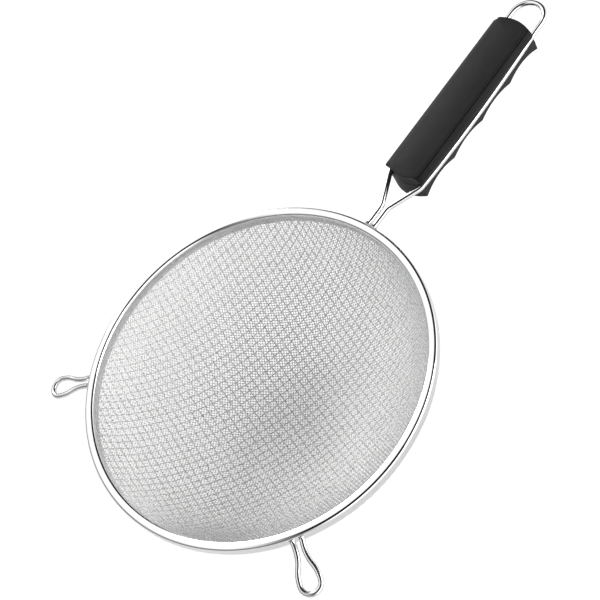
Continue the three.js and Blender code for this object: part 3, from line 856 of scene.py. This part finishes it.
rest_hook("hook_left", "rest_hook_left", -1)
rest_hook("hook_right", "rest_hook_right", 1)


# Camera, floor and light

# View of the rim's centre: tilt from straight above, roll, azimuth and distance in rim radii; then the rim's
# radius and centre in the image, in pixels
CAMERA_TILT = 0.6220
CAMERA_ROLL = 0.7218
CAMERA_AZIMUTH = math.radians(-101.59)
CAMERA_RADII = 7.6015
CAMERA_DISTANCE = CAMERA_RADII * RIM_RADIUS * MM
SENSOR = 36
RIM_PIXELS = 190.19
RIM_CENTRE_PIXEL = (253.58, 368.36)
IMAGE = 600

# Dim gap in the tent, given by the tilt and the azimuth of a surface that shows it to the camera (radians)
GAP_START = (math.radians(7), math.radians(14))
GAP_END = (math.radians(50), math.radians(42))
GAP_MIDDLE = math.radians(-58)
GAP_HALF = (math.radians(90), math.radians(62))
DIM_LEVEL = 0.015

# Tent level at the horizon and above it
TENT_LOW = 0.72
TENT_HIGH = 1.08
TENT_TOP = 0.8

# Brighter side of the tent at the front right, and its softer sides: low down behind the object, and at
# its left
BRIGHT_WAY = Vector((0.38, -0.91, 0.15))
BRIGHT_SPAN = (0.25, 0.8)
BRIGHT_GAIN = 1.2
SOFT_WAY = Vector((-0.3, 0.95, 0))
SOFT_SPAN = (0.1, 0.5)
SOFT_TOP = (0.45, 0.25)
SOFT_LOSS = 0.75
SIDE_WAY = Vector((-1, 0.1, 0))
SIDE_SPAN = (0.2, 0.7)
SIDE_TOP = (0.8, 0.4)
SIDE_LOSS = 0.75
UP = (0, 0, 1)
WHITE = (1, 1, 1, 1)

# Pale matt floor just below the bowl, in millimetres
FLOOR_HALF = 1300
FLOOR_LEVEL = -0.2
FLOOR_LOW = 0.69
FLOOR_HIGH = 0.73
FLOOR_CLOUD = 3.0
FLOOR_DETAIL = 3.0
FLOOR_ROUGH = 0.9
FLOOR_SPECULAR = 0.1
FLOOR_GLOW = 0.62
FLOOR_SHEEN = 0.25

# Lamps: place, width and power of each, and the point that both shine at
KEY_PLACE = (0.75, -0.9, 0.5)
KEY_SIZE = 0.8
KEY_POWER = 5.5
BACK_PLACE = (0.3, 1.1, 0.75)
BACK_SIZE = 0.5
BACK_POWER = 5.0
LAMP_AIM = Vector((0.05, 0, 0.04))


def camera_direction():
    return Vector((math.sin(CAMERA_TILT) * math.cos(CAMERA_AZIMUTH),
                   math.sin(CAMERA_TILT) * math.sin(CAMERA_AZIMUTH),
                   math.cos(CAMERA_TILT)))


def add_camera():
    toward = camera_direction()
    across = Vector((-math.sin(CAMERA_AZIMUTH), math.cos(CAMERA_AZIMUTH), 0))
    along = toward.cross(across)
    right = across * math.cos(CAMERA_ROLL) - along * math.sin(CAMERA_ROLL)
    up = across * math.sin(CAMERA_ROLL) + along * math.cos(CAMERA_ROLL)
    focal = RIM_PIXELS * CAMERA_DISTANCE / (RIM_RADIUS * MM)
    sideways, down = ((pixel - IMAGE / 2) / focal for pixel in RIM_CENTRE_PIXEL)
    offset = Vector((sideways, -down, -1))
    aim = Vector((0, 0, -1)).rotation_difference(offset).to_matrix()
    turned = aim @ Matrix((right, up, toward))
    place = Vector((0, 0, RIM_TOP * MM)) + toward * CAMERA_DISTANCE
    camera = bpy.data.objects.new("camera", bpy.data.cameras.new("camera"))
    camera.data.sensor_width = SENSOR
    camera.data.lens = focal * SENSOR / IMAGE
    camera.matrix_world = Matrix.Translation(place) @ turned.transposed().to_4x4()
    bpy.context.scene.collection.objects.link(camera)
    bpy.context.scene.camera = camera


def add_floor():
    """Pale floor that looks white from above and keeps the object's shadow."""
    s = Shader("studio_floor", Roughness=FLOOR_ROUGH, Specular_IOR_Level=FLOOR_SPECULAR)
    cloud = s.noise(s.position(triple(1)), FLOOR_CLOUD, FLOOR_DETAIL)
    s.link(s.tint(cloud, triple(FLOOR_LOW), triple(FLOOR_HIGH)), "Base Color")
    path = s.node("ShaderNodeLightPath").outputs
    seen = s.math("MAXIMUM", path["Is Camera Ray"], path["Is Transmission Ray"])
    seen = s.math("MULTIPLY", seen, FLOOR_GLOW)
    glossy = s.math("MULTIPLY", path["Is Glossy Ray"], FLOOR_SHEEN)
    s.bsdf.inputs["Emission Color"].default_value = WHITE
    s.link(s.math("MAXIMUM", seen, glossy), "Emission Strength")
    signs = ((-1, -1), (1, -1), (1, 1), (-1, 1))
    corners = [(x * FLOOR_HALF, y * FLOOR_HALF, FLOOR_LEVEL) for x, y in signs]
    floor = add_mesh("floor", corners, [[0, 1, 2, 3]], s.material)


def add_world():
    """White tent round the object, with a dim gap that bright metal shows as a dark line at its edges."""
    world = bpy.data.worlds.new("studio")
    bpy.context.scene.world = world
    world.use_nodes = True
    tree = world.node_tree
    tree.nodes.clear()

    def node(kind, links=None, **settings):
        return add_node(tree, kind, links, **settings)

    def dot(first, second):
        return node("ShaderNodeVectorMath", {0: first, 1: second}, operation="DOT_PRODUCT").outputs["Value"]

    def math_node(kind, first, second):
        return node("ShaderNodeMath", {0: first, 1: second}, operation=kind).outputs[0]

    def fade(value, start, end):
        return node("ShaderNodeMapRange", {"Value": value, "From Min": start, "From Max": end},
                    interpolation_type="SMOOTHSTEP").outputs["Result"]

    where = node("ShaderNodeTexCoord").outputs["Generated"]
    height = dot(where, UP)

    def softer(way, span, top, loss):
        low_side = math_node("MULTIPLY", fade(dot(where, way), *span), fade(height, *top))
        return math_node("MULTIPLY", low_side, loss)

    toward = camera_direction()
    between = node("ShaderNodeVectorMath", {0: where, 1: toward}, operation="ADD").outputs["Vector"]
    normal = node("ShaderNodeVectorMath", {0: between}, operation="NORMALIZE").outputs["Vector"]
    front = dot(normal, (math.cos(GAP_MIDDLE), math.sin(GAP_MIDDLE), 0))
    side = dot(normal, (-math.sin(GAP_MIDDLE), math.cos(GAP_MIDDLE), 0))
    tilt = node("ShaderNodeMath", {0: dot(normal, UP)}, operation="ARCCOSINE").outputs[0]
    turn = math_node("ABSOLUTE", math_node("ARCTAN2", side, front), 0.0)
    dim = math_node("MULTIPLY", fade(tilt, *GAP_START), fade(tilt, *GAP_END))
    dim = math_node("MULTIPLY", dim, fade(turn, *GAP_HALF))
    level = node("ShaderNodeMapRange", {"Value": dim, "To Min": 1.0, "To Max": DIM_LEVEL}).outputs["Result"]
    bright = math_node("MULTIPLY", fade(dot(where, BRIGHT_WAY), *BRIGHT_SPAN), BRIGHT_GAIN)
    soft = math_node("MAXIMUM", softer(SOFT_WAY, SOFT_SPAN, SOFT_TOP, SOFT_LOSS),
                     softer(SIDE_WAY, SIDE_SPAN, SIDE_TOP, SIDE_LOSS))
    rising = node("ShaderNodeMapRange", {"Value": height, "From Max": TENT_TOP, "To Min": TENT_LOW,
                                         "To Max": TENT_HIGH}).outputs["Result"]
    level = math_node("MULTIPLY", level, math_node("ADD", bright, rising))
    level = math_node("MULTIPLY", level, math_node("SUBTRACT", 1.0, soft))
    seen = node("ShaderNodeLightPath").outputs["Is Camera Ray"]
    tent = node("ShaderNodeBackground", {"Color": WHITE, "Strength": math_node("MAXIMUM", level, seen)})
    out = node("ShaderNodeOutputWorld")
    tree.links.new(tent.outputs["Background"], out.inputs["Surface"])


def add_lamp(name, place, size, power):
    data = bpy.data.lights.new(name, "AREA")
    data.size = size
    data.energy = power
    lamp = bpy.data.objects.new(name, data)
    lamp.location = place
    lamp.rotation_euler = (LAMP_AIM - Vector(place)).to_track_quat("-Z", "Y").to_euler()
    bpy.context.scene.collection.objects.link(lamp)


add_camera()
add_floor()
add_world()
add_lamp("key", KEY_PLACE, KEY_SIZE, KEY_POWER)
add_lamp("back", BACK_PLACE, BACK_SIZE, BACK_POWER)
bpy.context.scene.view_settings.view_transform = "Standard"
